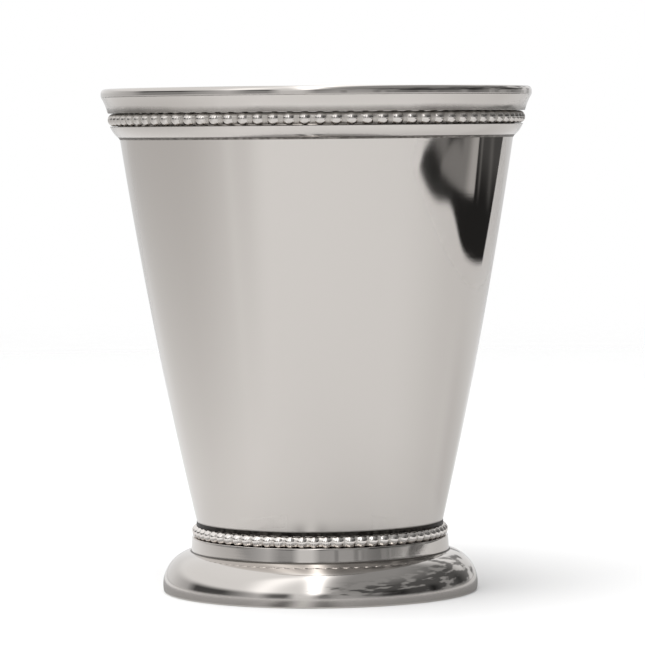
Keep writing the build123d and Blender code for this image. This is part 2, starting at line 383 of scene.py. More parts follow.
def beaded_wire(name, diameter, pitch, core, circle, height, underside, necks, painted_top_shade, arc_points=15):
    """A ring of beads on a core, cut flat at the back.

    At the length s from a bead's centre, measured along the ring, the section is a circle of radius
    sqrt((d / 2)^2 - s^2), and never less than the core. On the core it is drawn out to an upright oval, the
    strip that joins the beads. It is kept in front of the wall: with b the distance of the back from the
    circle's centre, only angles up to arccos(b / radius) either side of straight outwards are drawn, and a
    flat closes it. Below the middle the cosine is raised to the given power, which makes the underside
    fuller. Back edge and underside are darkened as crevices, with tarnish and painted shade, the necks as
    much as given. The tops get painted shade as much as given, as if the moulding above shaded them.
    """
    count = round(2 * np.pi * circle / pitch)
    lean = np.arctan2(side_radius(height + diameter / 2) - side_radius(height - diameter / 2), diameter)
    back = (side_radius(height) + SOLDER_GAP - circle) * np.cos(lean)
    swing = np.arccos(core / diameter)
    on_bead = diameter / 2 * np.sin(np.linspace(-swing, swing, 11))
    half_pitch = np.pi * circle / count
    on_core = np.linspace(on_bead[-1], half_pitch, 3)[1:]
    s = np.concatenate([on_bead, on_core])
    section = np.maximum(np.sqrt(np.maximum(diameter**2 / 4 - s**2, 0)), core / 2)
    angle = (2 * np.pi * np.arange(count)[:, None] / count + s / circle).reshape(-1)
    radius = np.tile(section, count)
    reach = np.arccos(np.clip(back / radius, -1, 1))
    around = np.linspace(-1, 1, arc_points)[:, None] * reach
    turned = np.cos(around)
    out = radius * np.sign(turned) * np.abs(turned) ** np.where(around < 0, underside, 1.0)
    up = np.maximum(radius, STRIP_HEIGHT * diameter / 2) * np.sin(around)
    level = height - out * np.sin(lean) + up * np.cos(lean)
    distance = circle + out * np.cos(lean) + up * np.sin(lean)
    grid = np.stack([distance * np.cos(angle), distance * np.sin(angle), level], axis=-1)
    neck = necks * ((diameter / 2 - radius) / (diameter / 2 - core / 2)) ** 2 + 0 * out
    behind = (out - back) / diameter
    above_foot = (level - height) / diameter + 0.5
    # Tarnish and painted shade in the necks, at the back and underneath, and painted shade on the tops.
    hollows_and_shade = [
        neck,
        np.exp(-((behind / BACK_REACH) ** 2)),
        UNDER_DEPTH * np.exp(-((above_foot / UNDER_REACH) ** 2)),
        painted_top_shade * np.exp(-(((1 - above_foot) / TOP_SHADE_REACH) ** 2)),
    ]
    return grid_mesh(name, grid, np.max(hollows_and_shade, axis=0))


RIM_BEAD_DIAMETER = RIM_BEAD_TOP - RIM_BEAD_FOOT
RIM_BEAD_PITCH = 3.09 * MM
RIM_BEAD_CORE = 1.5 * MM
FOOT_BEAD_DIAMETER = 2.36 * MM
FOOT_BEAD_PITCH = 2.41 * MM
FOOT_BEAD_CORE = 1.4 * MM

rim_beads = beaded_wire(
    "rim_beads",
    RIM_BEAD_DIAMETER,
    RIM_BEAD_PITCH,
    RIM_BEAD_CORE,
    RIM_BEAD_RADIUS - RIM_BEAD_DIAMETER / 2,
    (RIM_BEAD_TOP + RIM_BEAD_FOOT) / 2,
    underside=1.0,
    necks=0.8,
    painted_top_shade=0.95,
)
finish_piece(rim_beads, "rim_bead_wire")

foot_beads = beaded_wire(
    "foot_beads",
    FOOT_BEAD_DIAMETER,
    FOOT_BEAD_PITCH,
    FOOT_BEAD_CORE,
    FOOT_BEAD_RADIUS - FOOT_BEAD_DIAMETER / 2,
    SEAT + SOLDER_GAP + FOOT_BEAD_DIAMETER / 2,
    underside=0.55,
    necks=0.7,
    painted_top_shade=0.0,
)
finish_piece(foot_beads, "foot_bead_wire")

# %% [markdown]
# ## The spun foot
#
# The foot is a second spinning: a rounded skirt, a plain collar and a flat seat with a hole, hollow
# underneath. Its lower edge is turned in, so the cup stands on a smooth ring and not on a raw edge.

# %% Spin the foot
FOOT_WALL = 0.8 * MM
SKIRT_ROUND = 7.0 * MM
SKIRT_WAIST = 1.4 * MM
COLLAR_PROJECTION = 1.9 * MM
COLLAR_RADIUS = BODY_FOOT_RADIUS + COLLAR_PROJECTION
COLLAR_TAPER = 0.2 * MM
COLLAR_TOP_RADIUS = COLLAR_RADIUS - COLLAR_TAPER
SEAT_CREVICE_INSET = 0.8 * MM
STANDING_RING_WIDTH = 1.6 * MM
SKIRT_CENTRE = SKIRT_RADIUS - SKIRT_ROUND
SHOULDER = SKIRT_WAIST + math.sqrt(SKIRT_ROUND**2 - (COLLAR_RADIUS - SKIRT_CENTRE) ** 2)


def skirt_side(from_height, to_radius, skirt_round):
    """The skirt's round, outer or inner, from a height below its widest point up to the collar's radius."""
    low = np.arcsin((from_height - SKIRT_WAIST) / skirt_round)
    high = np.arccos((to_radius - SKIRT_CENTRE) / skirt_round)
    angle = np.linspace(low, high, 97)
    return np.stack(
        [SKIRT_CENTRE + skirt_round * np.cos(angle), SKIRT_WAIST + skirt_round * np.sin(angle)], axis=1
    )


def foot_outline():
    """Standing ring, skirt, collar and seat outside, then the same way back inside."""
    skirt = skirt_side(TABLE, COLLAR_RADIUS, SKIRT_ROUND)
    lining = skirt_side(TABLE + FOOT_WALL, COLLAR_RADIUS - FOOT_WALL, SKIRT_ROUND - FOOT_WALL)[::-1]
    turned_in = skirt[0][0] - STANDING_RING_WIDTH
    under_seat = SEAT - FOOT_WALL
    corners = [
        (COLLAR_TOP_RADIUS, SEAT),
        (SEAT_HOLE_RADIUS, SEAT),
        (SEAT_HOLE_RADIUS, under_seat),
        (COLLAR_TOP_RADIUS - FOOT_WALL, under_seat),
    ]
    sides = [
        line((turned_in, TABLE), skirt[0]),
        skirt,
        line(skirt[-1], corners[0]),
        line(corners[0], corners[1]),
        line(corners[1], corners[2]),
        line(corners[2], corners[3]),
        line(corners[3], lining[0]),
        lining,
        line(lining[-1], (turned_in, TABLE + FOOT_WALL)),
        line((turned_in, TABLE + FOOT_WALL), (turned_in, TABLE)),
    ]
    counts = [4, 40, 10, 8, 3, 8, 8, 24, 3, 3]
    eases = np.array([0.3, 0.2, 0.15, 0.2, 0.2, 0.4, 0.4, 0.3, 0.2, 0.2]) * MM
    return outline(sides, counts, eases)


spun_foot = turn(
    "spun_foot",
    foot_outline(),
    crevices=[
        # Tarnish and painted shade under the collar's shoulder and on the seat under the beads.
        (COLLAR_RADIUS, SHOULDER, 0.5 * MM, 1.0),
        (COLLAR_TOP_RADIUS - SEAT_CREVICE_INSET, SEAT, 0.5 * MM, 1.0),
    ],
)
finish_piece(spun_foot, "foot_shell")

# %% [markdown]
# ## The solder seams
#
# Solder runs into a joint and leaves a small hollow fillet. Its dark colour is dark solder and painted
# shade in the joint in one: the two thin dark lines, under the border and over the foot's beads, are what
# makes the soldered rings look like separate pieces. A third seam holds the body on its seat, inside the
# foot.

# %% Run the solder seams
def seam_outline(corner, first, second, dish):
    """A fillet in a corner, its face hollowed by dish between the ends of its two legs."""
    sides = [line(corner, first), arc(first, second, -dish), line(second, corner)]
    return outline(sides, [4, 12, 4], [0, 0, 0])


SEAM_DISH = 0.03 * MM
rim_seam = turn(
    "rim_seam",
    seam_outline(
        (side_radius(RIM_SEAM_TOP, -SOLDER_GAP), RIM_SEAM_TOP),
        (side_radius(RIM_SEAM_FOOT, -SOLDER_GAP), RIM_SEAM_FOOT),
        (RIM_SEAM_RADIUS, RIM_SEAM_TOP),
        SEAM_DISH,
    ),
)
finish_piece(rim_seam, "rim_solder_seam")

foot_seam = turn(
    "foot_seam",
    seam_outline(
        (side_radius(FOOT_SEAM_FOOT, -SOLDER_GAP), FOOT_SEAM_FOOT),
        (FOOT_SEAM_RADIUS, FOOT_SEAM_FOOT),
        (side_radius(FOOT_SEAM_TOP, -SOLDER_GAP), FOOT_SEAM_TOP),
        SEAM_DISH,
    ),
)
finish_piece(foot_seam, "foot_solder_seam")

seat_leg = SEAT_SEAM_TOP - SEAT_SEAM_FOOT
seat_seam = turn(
    "seat_seam",
    seam_outline(
        (SEAT_HOLE_RADIUS, SEAT_SEAM_TOP),
        (SEAT_HOLE_RADIUS - seat_leg, SEAT_SEAM_TOP),
        (SEAT_HOLE_RADIUS, SEAT_SEAM_FOOT),
        SEAM_DISH,
    ),
)
finish_piece(seat_seam, "foot_seat_solder")

# %% [markdown]
# ## The polished plate
#
# Polished metal has no colour of its own to speak of, only the colour it gives to reflections. What makes
# it look real is how it is not perfect: lathe lines that run round the cup, a sheet that is never quite
# even, cloudy patches where fingers and cloths have been, and dark tarnish left in the corners. The same
# dark colour also paints shade in corners, between parts and on the tops of the rim's beads. The lines
# come from a noise that is read at height plus radius. That sum stays the same round the axis, and so the
# lines run round.

# %% Join nodes
def new_material(name):
    """A material with nodes: itself, its tree and its shader."""
    material = bpy.data.materials.new(name)
    material.use_nodes = True
    return material, material.node_tree, material.node_tree.nodes["Principled BSDF"]


def add_node(tree, kind, **values):
    """A new node; values set its properties or, by name, the values of its inputs."""
    node = tree.nodes.new(kind)
    for key, value in values.items():
        if key in node.inputs.keys():
            node.inputs[key].default_value = value
        else:
            setattr(node, key, value)
    return node


def feed(tree, socket, value):
    """Give a socket a number, or the output of another node."""
    if isinstance(value, (int, float)):
        socket.default_value = value
    else:
        tree.links.new(value, socket)


def math_node(tree, operation, first, second):
    """A Math node of two inputs, each a socket or a number."""
    node = add_node(tree, "ShaderNodeMath", operation=operation)
    feed(tree, node.inputs[0], first)
    feed(tree, node.inputs[1], second)
    return node.outputs[0]


def scale_range(tree, value, low, high, new_low, new_high):
    """Map a value from one range to another, smoothly, without leaving the new range."""
    node = add_node(tree, "ShaderNodeMapRange", interpolation_type="SMOOTHSTEP")
    for socket, number in zip(node.inputs[1:5], (low, high, new_low, new_high)):
        socket.default_value = number
    tree.links.new(value, node.inputs[0])
    return node.outputs[0]


def turned_place(tree):
    """Object coordinates, and the same with height plus radius as the third number."""
    place = add_node(tree, "ShaderNodeTexCoord").outputs["Object"]
    parts = add_node(tree, "ShaderNodeSeparateXYZ")
    tree.links.new(place, parts.inputs[0])
    flat = add_node(tree, "ShaderNodeCombineXYZ")
    tree.links.new(parts.outputs[0], flat.inputs[0])
    tree.links.new(parts.outputs[1], flat.inputs[1])
    radius = add_node(tree, "ShaderNodeVectorMath", operation="LENGTH")
    tree.links.new(flat.outputs[0], radius.inputs[0])
    way = math_node(tree, "ADD", parts.outputs[2], radius.outputs["Value"])
    joined = add_node(tree, "ShaderNodeCombineXYZ")
    tree.links.new(parts.outputs[0], joined.inputs[0])
    tree.links.new(parts.outputs[1], joined.inputs[1])
    tree.links.new(way, joined.inputs[2])
    return place, joined.outputs[0]


def stretched_noise(tree, place, scale, detail, roughness):
    """Noise on scaled coordinates, so that it can be drawn out along one of them."""
    mapping = add_node(tree, "ShaderNodeMapping", Scale=scale)
    tree.links.new(place, mapping.inputs["Vector"])
    noise = add_node(tree, "ShaderNodeTexNoise", Scale=1.0, Detail=detail, Roughness=roughness)
    tree.links.new(mapping.outputs[0], noise.inputs["Vector"])
    return noise.outputs[0]


def bump(tree, height, distance, below=None):
    """Raise the surface by a height pattern, on top of another bump."""
    node = add_node(tree, "ShaderNodeBump", Strength=1.0, Distance=distance)
    tree.links.new(height, node.inputs["Height"])
    if below is not None:
        tree.links.new(below, node.inputs["Normal"])
    return node.outputs[0]


# %% Make the plate
PLATE_COLOUR = (0.66, 0.627, 0.597)
INSIDE_COLOUR = (0.84, 0.82, 0.8)
# Painted light: a brighter copy of the plate for the foot's beads, so that they look more brightly lit.
PAINTED_LIGHT_COLOUR = (0.84, 0.8, 0.765)
# Dark colours of tarnish that also paint shade in corners, between parts and on the rim beads' tops.
DARK_TARNISH_AND_SHADE = (0.09, 0.08, 0.07)
PALE_TARNISH_AND_SHADE = (0.34, 0.315, 0.285)
LINE_SCALE = (14, 14, 5200)
CLOUD_SCALE = (38, 38, 38)
WAVE_SCALE = (45, 45, 22)
TARNISH_AND_SHADE_RAGGEDNESS = 0.25
TARNISH_AND_SHADE_DULLNESS = 0.35
WORN_BELOW = 3.2 * MM
MOST_WORN = 1.2 * MM


def plate_finish(name, plate, gloss, line_height, wave_height, tarnish_and_shade, tarnish_and_shade_span, chalk=0.0, worn=0.0):
    """Polished plate: turned lines and an uneven sheet as bump, clouds in the gloss, tarnish and painted
    shade in crevices.

    gloss is the roughness of clear and of cloudy plate. The dark colour, tarnish and painted shade in one,
    begins and ends at the two values given for its span, on a scale of the crevice number plus clouds.
    chalk says how much of it is no metal, as dried polish is. worn says how much rougher the plate gets
    towards the table, over the lowest millimetres.
    """
    material, tree, shader = new_material(name)
    place, turned = turned_place(tree)
    lines = stretched_noise(tree, turned, LINE_SCALE, 2.0, 0.6)
    clouds = stretched_noise(tree, place, CLOUD_SCALE, 4.0, 0.55)
    hollow_and_shade = add_node(tree, "ShaderNodeAttribute", attribute_name="hollow_and_shade").outputs["Fac"]
    ragged = math_node(tree, "ADD", hollow_and_shade, math_node(tree, "MULTIPLY", clouds, TARNISH_AND_SHADE_RAGGEDNESS))
    dirt_and_shade = scale_range(tree, ragged, *tarnish_and_shade_span, 0.0, 1.0)
    colour = add_node(tree, "ShaderNodeMix", data_type="RGBA")
    tree.links.new(dirt_and_shade, colour.inputs["Factor"])
    colour.inputs[6].default_value = (*plate, 1)
    colour.inputs[7].default_value = (*tarnish_and_shade, 1)
    tree.links.new(colour.outputs[2], shader.inputs["Base Color"])
    shader.inputs["Metallic"].default_value = 1.0
    if chalk:
        metal = math_node(tree, "SUBTRACT", 1.0, math_node(tree, "MULTIPLY", dirt_and_shade, chalk))
        tree.links.new(metal, shader.inputs["Metallic"])
    roughness = scale_range(tree, clouds, 0.3, 0.7, *gloss)
    if worn:
        parts = add_node(tree, "ShaderNodeSeparateXYZ")
        tree.links.new(place, parts.inputs[0])
        rubbed = scale_range(tree, parts.outputs[2], WORN_BELOW, MOST_WORN, 0.0, worn)
        roughness = math_node(tree, "ADD", roughness, rubbed)
    dulled = math_node(tree, "ADD", roughness, math_node(tree, "MULTIPLY", dirt_and_shade, TARNISH_AND_SHADE_DULLNESS))
    tree.links.new(dulled, shader.inputs["Roughness"])
    uneven = None
    if wave_height:
        uneven = bump(tree, stretched_noise(tree, place, WAVE_SCALE, 0.0, 0.5), wave_height)
    tree.links.new(bump(tree, lines, line_height, uneven), shader.inputs["Normal"])
    return material


POLISHED_GLOSS = (0.025, 0.065)
SATIN_GLOSS = (0.29, 0.36)
BEAD_GLOSS = (0.05, 0.1)
LATHE_LINES = 0.0006 * MM
ROLLED_LINES = 0.0003 * MM

# The dark colour of the plates is tarnish and painted shade in corners and between parts.
outside_plate = plate_finish(
    "outside_plate", PLATE_COLOUR, POLISHED_GLOSS, LATHE_LINES, wave_height=0.02 * MM,
    tarnish_and_shade=DARK_TARNISH_AND_SHADE, tarnish_and_shade_span=(0.75, 1.05), chalk=0.5,
)
foot_plate = plate_finish(
    "foot_plate", PLATE_COLOUR, POLISHED_GLOSS, LATHE_LINES, wave_height=0.005 * MM,
    tarnish_and_shade=DARK_TARNISH_AND_SHADE, tarnish_and_shade_span=(0.75, 1.05), chalk=0.5, worn=0.2,
)
inside_plate = plate_finish(
    "inside_plate", INSIDE_COLOUR, SATIN_GLOSS, LATHE_LINES, wave_height=0.01 * MM,
    tarnish_and_shade=DARK_TARNISH_AND_SHADE, tarnish_and_shade_span=(0.9, 1.3),
)
bead_plate, painted_light_bead_plate = [
    plate_finish(
        name, colour, BEAD_GLOSS, ROLLED_LINES, wave_height=0.0,
        tarnish_and_shade=PALE_TARNISH_AND_SHADE, tarnish_and_shade_span=(0.66, 1.1), chalk=0.9,
    )
    for name, colour in (("bead_plate", PLATE_COLOUR), ("painted_light_bead_plate", PAINTED_LIGHT_COLOUR))
]
plates = (outside_plate, foot_plate, inside_plate, bead_plate, painted_light_bead_plate)
print("plates:", [plate.name for plate in plates])

# %% [markdown]
# Solder is greyer than plate, and lumpy where it froze. A cloth still rubs the seam under the border now
# and then, and never the others, so there are two finishes: a worn one and a dark one. The dark one is
# nearly black, which paints the shade in its joints as well.

# %% Make the solder
LUMP_SCALE = (900, 900, 900)
LUMP_HEIGHT = 0.05 * MM
SOLDER_GLOSS = (0.35, 0.6)


def solder_finish(name, dark, light):
    """Dull, lumpy grey metal, darker in its dips."""
    material, tree, shader = new_material(name)
    shader.inputs["Metallic"].default_value = 1.0
    place = add_node(tree, "ShaderNodeTexCoord").outputs["Object"]
    lumps = stretched_noise(tree, place, LUMP_SCALE, 3.0, 0.6)
    colour = add_node(tree, "ShaderNodeMix", data_type="RGBA")
    tree.links.new(scale_range(tree, lumps, 0.35, 0.7, 0.0, 1.0), colour.inputs["Factor"])
    colour.inputs[6].default_value = (*dark, 1)
    colour.inputs[7].default_value = (*light, 1)
    tree.links.new(colour.outputs[2], shader.inputs["Base Color"])
    tree.links.new(scale_range(tree, lumps, 0.3, 0.7, *SOLDER_GLOSS), shader.inputs["Roughness"])
    tree.links.new(bump(tree, lumps, LUMP_HEIGHT), shader.inputs["Normal"])
    return material


worn_solder = solder_finish("worn_solder", (0.12, 0.11, 0.1), (0.32, 0.3, 0.28))
dark_solder = solder_finish("dark_solder", (0.012, 0.01, 0.009), (0.07, 0.063, 0.056))
print("solders:", [worn_solder.name, dark_solder.name])

# %% Put the finishes on the pieces
for piece, plate in ((spun_body, outside_plate), (spun_foot, foot_plate)):
    piece.data.materials.append(plate)
    piece.data.materials.append(inside_plate)
for piece in (rim_cavetto, rim_ovolo):
    piece.data.materials.append(outside_plate)
# The foot's beads wear the brighter copy of the plate, painted light.
for piece, plate in ((rim_beads, bead_plate), (foot_beads, painted_light_bead_plate)):
    piece.data.materials.append(plate)
for piece in (foot_seam, seat_seam):
    piece.data.materials.append(dark_solder)
rim_seam.data.materials.append(worn_solder)
border = (rim_cavetto, rim_beads, rim_ovolo, rim_seam)
for piece in (spun_body, *border, spun_foot, foot_beads, foot_seam, seat_seam):
    print(piece.name, "wears", [material.name for material in piece.data.materials])

# %% [markdown]
# Inside the bowl and under the foot the metal is left as the spinner's last cut made it: an even satin.
# The faces there are found by their place and by which way they look. On the body they are the underside
# and the inner half of the wall, on the foot all that looks to the axis or lies flat inside.

# %% Give the insides their satin finish
def paint_inside(piece, is_inside):
    """Give the second material to faces for which is_inside(radius, height, outward share) holds."""
    count = len(piece.data.polygons)
    centre, normal = np.empty(count * 3), np.empty(count * 3)
    piece.data.polygons.foreach_get("center", centre)
    piece.data.polygons.foreach_get("normal", normal)
    centre, normal = centre.reshape(-1, 3), normal.reshape(-1, 3)
    radius = np.hypot(centre[:, 0], centre[:, 1])
    outward = (centre[:, :2] * normal[:, :2]).sum(axis=1) / np.maximum(radius, SAME_PLACE)
    chosen = is_inside(radius, centre[:, 2], outward)
    piece.data.polygons.foreach_set("material_index", chosen.astype(np.int32))
    piece.data.update()
    print(f"{piece.name}: {int(chosen.sum())} satin faces")


FLAT_WITHIN = 0.01 * MM
INWARD_SHARE = -0.05

paint_inside(
    spun_body,
    lambda radius, height, outward: (height < BODY_UNDERSIDE + FLAT_WITHIN)
    | ((radius < side_radius(height, BODY_WALL / 2)) & (height < FLARE_START)),
)
paint_inside(
    spun_foot,
    lambda radius, height, outward: (outward < INWARD_SHARE)
    | ((height < TABLE + FOOT_WALL) & (radius < SKIRT_CENTRE))
    | (np.abs(height - SEAT + FOOT_WALL) < FLAT_WITHIN),
)

# %% [markdown]
# ## The stage
#
# A mirror shows the room, so the room is most of the picture. The floor is a white disc that fades out
# before its edge. The sky is plain white to the camera, and to everything else it is the small studio
# that the next step lights.

# %% Lay the floor
FLOOR_RADIUS = 1.2
FLOOR_SPOKES = 96
FLOOR_FADE = (0.3 * FLOOR_RADIUS, 0.9 * FLOOR_RADIUS)
FLOOR_HOLE = (SKIRT_RADIUS - 0.3 * MM, SKIRT_RADIUS - 0.4 * MM)
FLOOR_WHITE = (0.9, 0.9, 0.9, 1)
REFLECTED_FLOOR = (0.675, 0.675, 0.675, 1)


def floor_disc(rings=24):
    """A flat disc: rings of points whose radius grows as the square of the ring's number."""
    radius = FLOOR_RADIUS * np.linspace(0, 1, rings)[:, None] ** 2
    angle = np.linspace(0, 2 * np.pi, FLOOR_SPOKES, endpoint=False)
    grid = np.stack([radius * np.cos(angle), radius * np.sin(angle), 0 * radius * angle], axis=-1)
    index = np.arange(FLOOR_SPOKES * (rings - 1)).reshape(rings - 1, FLOOR_SPOKES)
    near, far = index[:-1], index[1:]
    quads = np.stack([near, far, np.roll(far, -1, 1), np.roll(near, -1, 1)], axis=-1).reshape(-1, 4)
    faces = quads.tolist() + [index[0].tolist()]
    mesh = bpy.data.meshes.new("floor")
    mesh.from_pydata(grid[1:].reshape(-1, 3).tolist(), [], faces)
    mesh.update()
    disc = add_object("floor", mesh)
    return disc


def surface_mix(tree, share, first, second):
    """Show one shader and, by a share, another."""
    mix = add_node(tree, "ShaderNodeMixShader")
    for socket, output in zip(mix.inputs, (share, first.outputs[0], second.outputs[0])):
        tree.links.new(output, socket)
    tree.links.new(mix.outputs[0], tree.nodes["Material Output"].inputs["Surface"])


def floor_finish():
    """White card, greyer in reflections, that turns transparent towards its rim and when seen from below.

    It also has a hole where the foot covers it, which lets light into the foot from underneath.
    """
    material, tree, shader = new_material("white_card")
    tree.nodes.remove(shader)
    glossy = add_node(tree, "ShaderNodeLightPath").outputs["Is Glossy Ray"]
    tone = add_node(tree, "ShaderNodeMix", data_type="RGBA")
    tree.links.new(glossy, tone.inputs["Factor"])
    tone.inputs[6].default_value = FLOOR_WHITE
    tone.inputs[7].default_value = REFLECTED_FLOOR
    card = add_node(tree, "ShaderNodeBsdfDiffuse")
    tree.links.new(tone.outputs[2], card.inputs["Color"])
    clear = add_node(tree, "ShaderNodeBsdfTransparent")
    place = add_node(tree, "ShaderNodeTexCoord").outputs["Object"]
    length = add_node(tree, "ShaderNodeVectorMath", operation="LENGTH")
    tree.links.new(place, length.inputs[0])
    away = length.outputs["Value"]
    fade = scale_range(tree, away, *FLOOR_FADE, 0.0, 1.0)
    hole = scale_range(tree, away, *FLOOR_HOLE, 0.0, 1.0)
    below = add_node(tree, "ShaderNodeNewGeometry").outputs["Backfacing"]
    clearness = math_node(tree, "MAXIMUM", hole, math_node(tree, "MAXIMUM", fade, below))
    surface_mix(tree, clearness, card, clear)
    return material


floor = floor_disc()
floor.data.materials.append(floor_finish())
print("floor", 2 * FLOOR_RADIUS, "m across")

# %% [markdown]
# A mirror needs something to show on every side. The lamp that lights the floor is hidden from
# reflections, because its square would sit on the foot like a sticker. The sky takes its place there:
# bright on the left, a dim room on the right, and a narrow tall glow from the front up overhead, which
# draws the bright line down the middle of the lip and the foot. Low down it goes dark and light by turns,
# like a room with furniture and windows in it, and the metal breaks that up into the restless shapes that
# such a foot always shows.

# %% Describe the room
def ramp(tree, value, stops):
    """Grey levels at given values, with straight ways between them."""
    node = add_node(tree, "ShaderNodeValToRGB")
    elements = node.color_ramp.elements
    while len(elements) < len(stops):
        elements.new(1.0)
    for element, (position, level) in zip(elements, stops):
        element.position = position
        element.color = (level, level, level, 1)
    tree.links.new(value, node.inputs[0])
    return node.outputs[0]


def blend(tree, share, first, second):
    """Mix two levels, each a socket or a number."""
    node = add_node(tree, "ShaderNodeMix", data_type="FLOAT")
    feed(tree, node.inputs[0], share)
    feed(tree, node.inputs[2], first)
    feed(tree, node.inputs[3], second)
    return node.outputs[0]


# Levels of the bright half by height, and of the things in the room by direction on the compass
BRIGHT_HALF = [(0.15, 0.8), (0.35, 0.95), (0.6, 0.95), (0.95, 1.0)]
DIM_HALF = 0.34
THINGS = [
    (0.0, 0.9), (0.1, 0.8), (0.18, 0.5), (0.21, 0.08), (0.29, 0.08), (0.34, 0.4),
    (0.37, 0.6), (0.4, 0.15), (0.43, 0.12), (0.45, 0.85), (0.48, 0.85), (0.5, 0.2),
    (0.54, 0.45), (0.62, 0.3), (0.65, 0.06), (0.67, 0.06), (0.7, 0.25), (0.735, 0.25),
    (0.755, 0.05), (0.78, 0.3), (0.82, 0.35), (0.85, 0.15), (0.9, 0.7), (1.0, 0.9),
]
SHAPE_SCALE = (5, 5, 8)
# Middle, width and strength of each glow, and how far to the front it begins
GLOWS = [(0.08, 0.09, 1.6, -0.8), (1.0, 0.25, 0.55, 0.1)]


def room_level(tree, direction, right, away, up):
    """How bright the room is in a direction.

    From high to low: the bright and the dim half, the things that stand about, which go by the direction
    on the compass, and two strips at the horizon where the things are fainter. Over it lie ragged dark
    shapes, most of them on the right. A narrow and a broad glow fall off as exp(-(u / width)^2), with u how
    far aside of the glow's middle the direction lies.
    """

    def times(first, second):
        """The product of two levels."""
        return math_node(tree, "MULTIPLY", first, second)

    def plus(first, second):
        """The sum of two levels."""
        return math_node(tree, "ADD", first, second)

    def step(value, low, high):
        """A smooth step from 0 at low to 1 at high."""
        return scale_range(tree, value, low, high, 0.0, 1.0)

    half = times(step(right, -0.1, 0.3), step(away, 0.85, 0.55))
    front = times(away, -1.0)
    turned = math_node(tree, "ARCTAN2", right, front)
    compass = plus(math_node(tree, "DIVIDE", turned, math.tau), 0.5)
    bright = ramp(tree, up, BRIGHT_HALF)
    things = ramp(tree, compass, THINGS)
    level = blend(tree, step(up, 0.2, 0.4), things, blend(tree, half, bright, DIM_HALF))
    strip = plus(times(things, 0.5), blend(tree, half, 0.35, 0.2))
    level = blend(tree, step(up, 0.03, 0.045), strip, level)
    edge = plus(times(things, 0.55), 0.25)
    level = blend(tree, step(up, 0.011, 0.015), edge, level)
    shapes = stretched_noise(tree, direction, SHAPE_SCALE, 3.0, 0.5)
    crowd = math_node(tree, "SUBTRACT", times(right, 0.25), 0.06)
    low = times(scale_range(tree, up, 0.9, 0.5, 0.0, 0.7), scale_range(tree, up, 0.03, 0.06, 0.5, 1.0))
    dark = times(step(plus(shapes, crowd), 0.52, 0.62), low)
    level = times(level, math_node(tree, "SUBTRACT", 1.0, dark))
    for middle, width, strength, begin in GLOWS:
        ahead = times(step(front, begin, begin + 0.25), step(up, 0.15, 0.4))
        aside = math_node(tree, "DIVIDE", plus(right, times(front, middle)), width)
        fall = times(math_node(tree, "POWER", aside, 2.0), -1.0)
        glow = times(math_node(tree, "POWER", math.e, fall), strength)
        level = plus(level, times(glow, ahead))
    return level


print("room:", len(THINGS), "stops round the compass and", len(GLOWS), "glows")

# %% Light the studio
BELOW_HORIZON = 0.65


def studio_sky():
    """Sky: white for the camera, the room for everything else, with an even grey below the horizon."""
    world = bpy.data.worlds.new("studio")
    bpy.context.scene.world = world
    world.use_nodes = True
    tree = world.node_tree
    background = tree.nodes["Background"]
    direction = add_node(tree, "ShaderNodeTexCoord").outputs["Generated"]
    parts = add_node(tree, "ShaderNodeSeparateXYZ")
    tree.links.new(direction, parts.inputs[0])
    up = parts.outputs[2]
    below = scale_range(tree, up, -0.02, 0.0, BELOW_HORIZON, 0.0)
    sky = math_node(tree, "MAXIMUM", room_level(tree, direction, *parts.outputs), below)
    seen = add_node(tree, "ShaderNodeLightPath").outputs["Is Camera Ray"]
    tree.links.new(math_node(tree, "MAXIMUM", sky, seen), background.inputs["Strength"])
    background.inputs["Color"].default_value = (1, 1, 1, 1)


def softbox(name, place, target, width, height, power):
    """An area light at a place, turned to a target."""
    lamp = bpy.data.lights.new(name, "AREA")
    lamp.shape = "RECTANGLE"
    lamp.size, lamp.size_y, lamp.energy = width, height, power
    holder = add_object(name, lamp)
    holder.location = place
    holder.rotation_mode = "QUATERNION"
    holder.rotation_quaternion = (Vector(target) - Vector(place)).to_track_quat("-Z", "Y")
    return holder


LAMP_PLACE = (-0.1, -0.25, 1.2)
LAMP_SIDE = 1.2
LAMP_POWER = 11.0

studio_sky()
floor_lamp = softbox("floor_lamp", LAMP_PLACE, (0, 0, 0), LAMP_SIDE, LAMP_SIDE, LAMP_POWER)
floor_lamp.visible_glossy = False
print("lamp of", LAMP_POWER, "W at", LAMP_PLACE)

# %% [markdown]
# Flat sheets lie on the table, just out of the picture, and glow with a set brightness: they are painted
# reflections. The tapered side of the cup looks down at the table, so the sheets lie flat. A grey one on
# the left paints the reflection of the cup's shadow on that side, a thin one on the right takes the glare
# off, and a black one beside the cup paints the dark hook under the rim. A ring round the foot paints the
# shade there. Only reflections see them, so the floor stays clean, and a number stored at each point lets
# their edges melt away.

# %% Make a card
CARD_LEVEL = 0.3 * MM
CARD_START = 0.05
CARD_SOFTNESS = 0.17
# Colour and glow strengths of the painted reflections: grey, the window's grey, painted shade and black.
CARD_TINT = (1, 0.985, 0.97, 1)
GREY = 0.6
WINDOW_GREY = 0.48
SHADE = 0.08
BLACK = 0.02


def smooth_step(value, low, high):
    """0 below low, 1 above high and 3 t^2 - 2 t^3 between them; with low above high it falls instead."""
    t = np.clip((value - low) / (high - low), 0, 1)
    return t * t * (3 - 2 * t)


